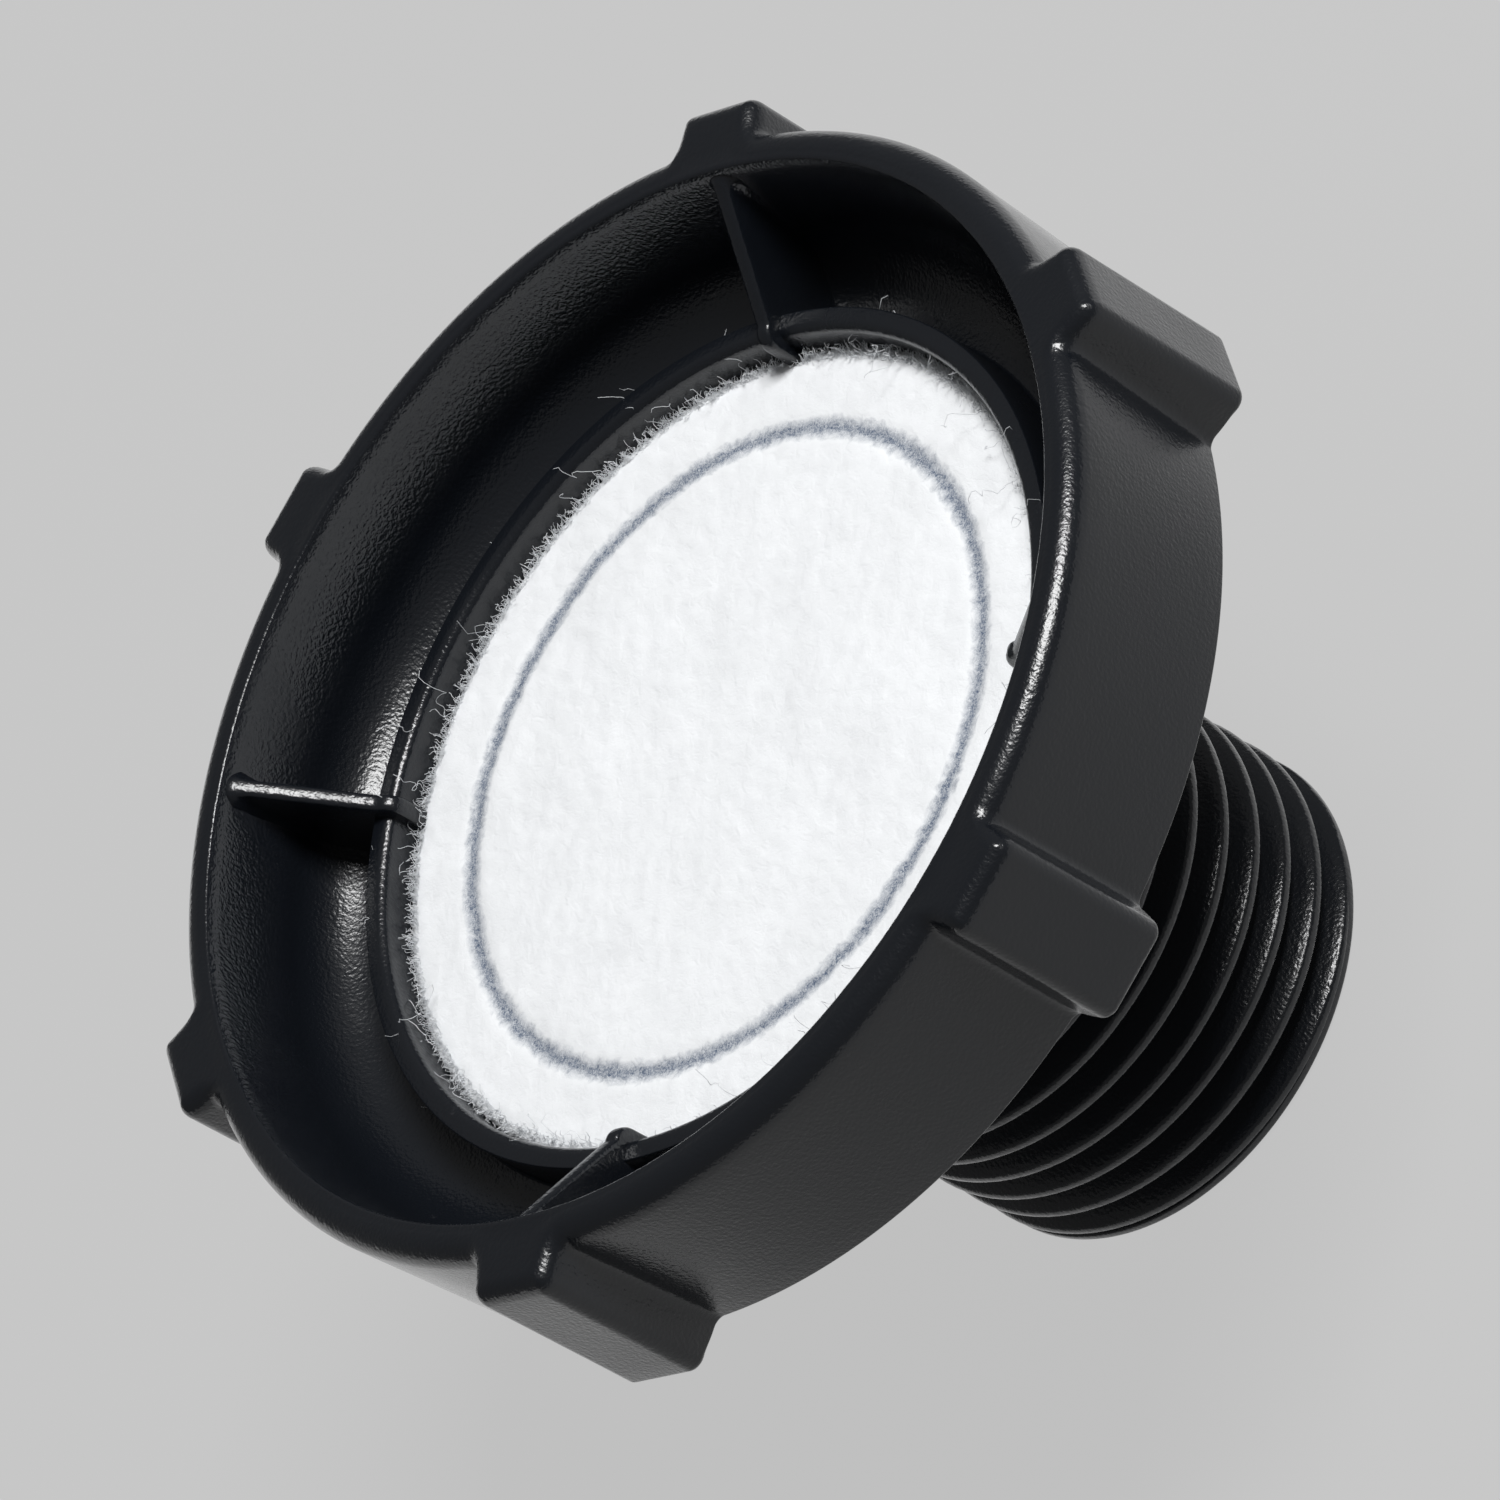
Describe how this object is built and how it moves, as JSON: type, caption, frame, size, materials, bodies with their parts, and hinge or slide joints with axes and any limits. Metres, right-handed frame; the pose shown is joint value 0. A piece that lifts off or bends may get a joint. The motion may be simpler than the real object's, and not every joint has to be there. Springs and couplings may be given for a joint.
{
  "type": "pneumatic muffler",
  "caption": "Open-cup pneumatic exhaust muffler: black plastic cup with grip lugs, snapped-in white felt disc and a hollow stem with a male pipe thread.",
  "frame": {"origin": "centre of the stem's end face, on the thread's axis", "axes": "+Z along the axis, out of the open mouth; +X through the middle of a grip lug; the stem's end is at z = 0"},
  "size_m": [0.0494, 0.0468, 0.0311],
  "materials": {
    "black_plastic": "satin black moulded polyamide",
    "white_felt": "dense white needle felt",
    "grey_felt": "coarse open felt",
    "grid_plastic": "moulded plastic"
  },
  "bodies": {
    "root": {"housing": "black_plastic", "front_felt": "white_felt", "rear_felt": "grey_felt", "support_grid": "grid_plastic"}
  },
  "joints": []
}
